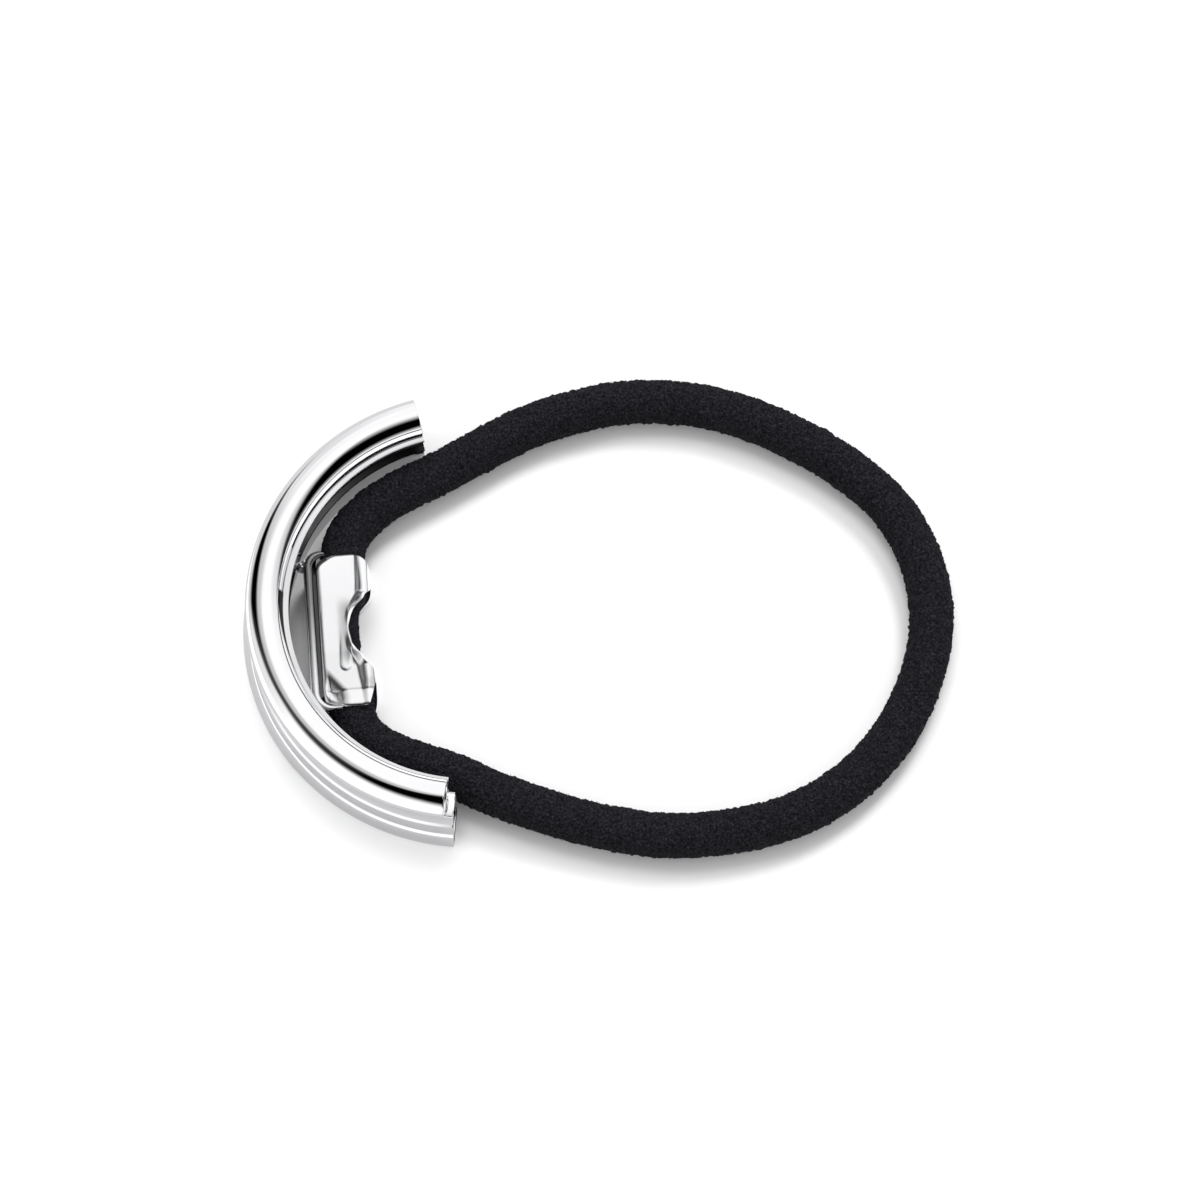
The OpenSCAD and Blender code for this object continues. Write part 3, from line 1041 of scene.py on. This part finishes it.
def makeFloor():
    bm = bmesh.new()
    bmesh.ops.create_circle(bm, cap_ends=True, segments=96, radius=roomLook["floorRadius"])
    mesh = bpy.data.meshes.new("floor")
    bm.to_mesh(mesh)
    bm.free()
    floor = bpy.data.objects.new("floor", mesh)
    scene.collection.objects.link(floor)
    mat, tree, bsdf = newMaterial("floorPaper")
    # painted shade and light in reflections only: the metal mirrors the paper darker near the cuff
    # and behind it, and brighter than the paper itself far from it
    look = roomLook["floorMirrored"]
    coords = tree.nodes.new("ShaderNodeTexCoord")
    away = tree.nodes.new("ShaderNodeVectorMath")
    away.operation = "DISTANCE"
    away.inputs[1].default_value = (arc["centreX"], arc["centreY"], 0)
    tree.links.new(coords.outputs["Object"], away.inputs[0])
    way = tree.nodes.new("ShaderNodeSeparateXYZ")
    tree.links.new(coords.outputs["Object"], way.inputs[0])

    def rise(value, start, end, first, last):
        node = tree.nodes.new("ShaderNodeMapRange")
        tree.links.new(value, node.inputs["Value"])
        ends = (("From Min", start), ("From Max", end), ("To Min", first), ("To Max", last))
        for socket, key in ends:
            node.inputs[socket].default_value = look[key]
        return node.outputs["Result"]

    fromRing = mathNode(tree, "SUBTRACT", away.outputs["Value"], look["ringRho"])
    aboutCuff = rise(mathNode(tree, "ABSOLUTE", fromRing), "from", "to", "near", "far")
    behindCuff = rise(way.outputs[1], "frontY", "behindY", "far", "near")
    mirrored = mathNode(tree, "MINIMUM", aboutCuff, behindCuff)
    path = tree.nodes.new("ShaderNodeLightPath")
    share = tree.nodes.new("ShaderNodeMix")
    share.data_type = "FLOAT"
    tree.links.new(path.outputs["Is Glossy Ray"], share.inputs["Factor"])
    share.inputs["A"].default_value = 1.0
    tree.links.new(mirrored, share.inputs["B"])
    tone = tree.nodes.new("ShaderNodeVectorMath")
    tone.operation = "SCALE"
    tone.inputs[0].default_value = roomLook["floor"]
    tree.links.new(share.outputs["Result"], tone.inputs["Scale"])
    tree.links.new(tone.outputs["Vector"], bsdf.inputs["Base Color"])
    for socket, value in roomLook["floorSurface"].items():
        bsdf.inputs[socket].default_value = value
    mesh.materials.append(mat)


def makeRoom():
    # white tent whose dark opening is seen only in what the metal mirrors
    world = bpy.data.worlds.new("tent")
    world.use_nodes = True
    scene.world = world
    tree = world.node_tree
    tree.nodes.clear()
    out = tree.nodes.new("ShaderNodeOutputWorld")
    back = tree.nodes.new("ShaderNodeBackground")
    tree.links.new(back.outputs[0], out.inputs["Surface"])
    coords = tree.nodes.new("ShaderNodeTexCoord")
    way = tree.nodes.new("ShaderNodeSeparateXYZ")
    tree.links.new(coords.outputs["Generated"], way.inputs[0])
    compass = mathNode(tree, "ARCTAN2", way.outputs[1], way.outputs[0])
    compass = mathNode(tree, "ADD", mathNode(tree, "DIVIDE", compass, 2 * math.pi), 0.5)
    height = mathNode(tree, "DIVIDE", mathNode(tree, "ARCSINE", way.outputs[2]), math.pi / 2)

    def darkBand(rows):
        # how dark the room is at this compass and height, from one of the tables
        ramp = tree.nodes.new("ShaderNodeValToRGB")
        stops = ramp.color_ramp.elements
        while len(stops) < len(rows):
            stops.new(0.5)
        for stop, row in zip(stops, rows):
            stop.position = row["compass"] / 360 + 0.5
        for stop, row in zip(stops, rows):
            stop.color = (row["middle"] / 90, row["full"] / 90, row["end"] / 90, row["dark"])
        tree.links.new(compass, ramp.inputs["Fac"])
        split = tree.nodes.new("ShaderNodeSeparateColor")
        tree.links.new(ramp.outputs["Color"], split.inputs[0])
        off = mathNode(tree, "ABSOLUTE", mathNode(tree, "SUBTRACT", height, split.outputs[0]))
        fade = tree.nodes.new("ShaderNodeMapRange")
        fade.interpolation_type = "SMOOTHSTEP"
        tree.links.new(off, fade.inputs["Value"])
        tree.links.new(split.outputs[1], fade.inputs["From Min"])
        tree.links.new(split.outputs[2], fade.inputs["From Max"])
        fade.inputs["To Min"].default_value = 1.0
        fade.inputs["To Max"].default_value = 0.0
        return mathNode(tree, "MULTIPLY", fade.outputs["Result"], ramp.outputs["Alpha"])

    light = mathNode(tree, "SUBTRACT", 1.0, darkBand(roomLook["arch"]))
    haze = mathNode(tree, "SUBTRACT", 1.0, darkBand(roomLook["haze"]))
    wall = mathNode(tree, "SUBTRACT", 1.0, darkBand(roomLook["farWall"]))
    light = mathNode(tree, "MULTIPLY", mathNode(tree, "MULTIPLY", light, haze), wall)
    mirrored = mathNode(tree, "MULTIPLY", light, roomLook["mirrored"])

    path = tree.nodes.new("ShaderNodeLightPath")
    pick = tree.nodes.new("ShaderNodeMix")
    pick.data_type = "FLOAT"
    tree.links.new(path.outputs["Is Glossy Ray"], pick.inputs["Factor"])
    pick.inputs["A"].default_value = roomLook["ambient"]
    tree.links.new(mirrored, pick.inputs["B"])
    tree.links.new(pick.outputs["Result"], back.inputs["Strength"])
    back.inputs["Color"].default_value = (1, 1, 1, 1)


def makeLights():
    # the cuff itself throws no shadow from the key light; its shadow is the top light's softer one
    blockers = bpy.data.collections.new("keyBlockers")
    for piece in (elasticCord, elasticFuzz, cordClamp, backPlate):
        blockers.objects.link(piece)
    for look in roomLook["lights"]:
        data = bpy.data.lights.new(look["name"], "AREA")
        data.shape = "DISK"
        data.size = look["size"]
        data.energy = look["power"]
        light = bpy.data.objects.new(look["name"], data)
        scene.collection.objects.link(light)
        light.location = look["from"]
        aim = Vector(view["target"]) - light.location
        light.rotation_euler = aim.to_track_quat("-Z", "Y").to_euler()
        light.visible_glossy = False
        if not look["cuffShades"]:
            light.light_linking.blocker_collection = blockers


makeFloor()
makeRoom()
makeLights()
scene.view_settings.view_transform = "Standard"
print("room and lights set")
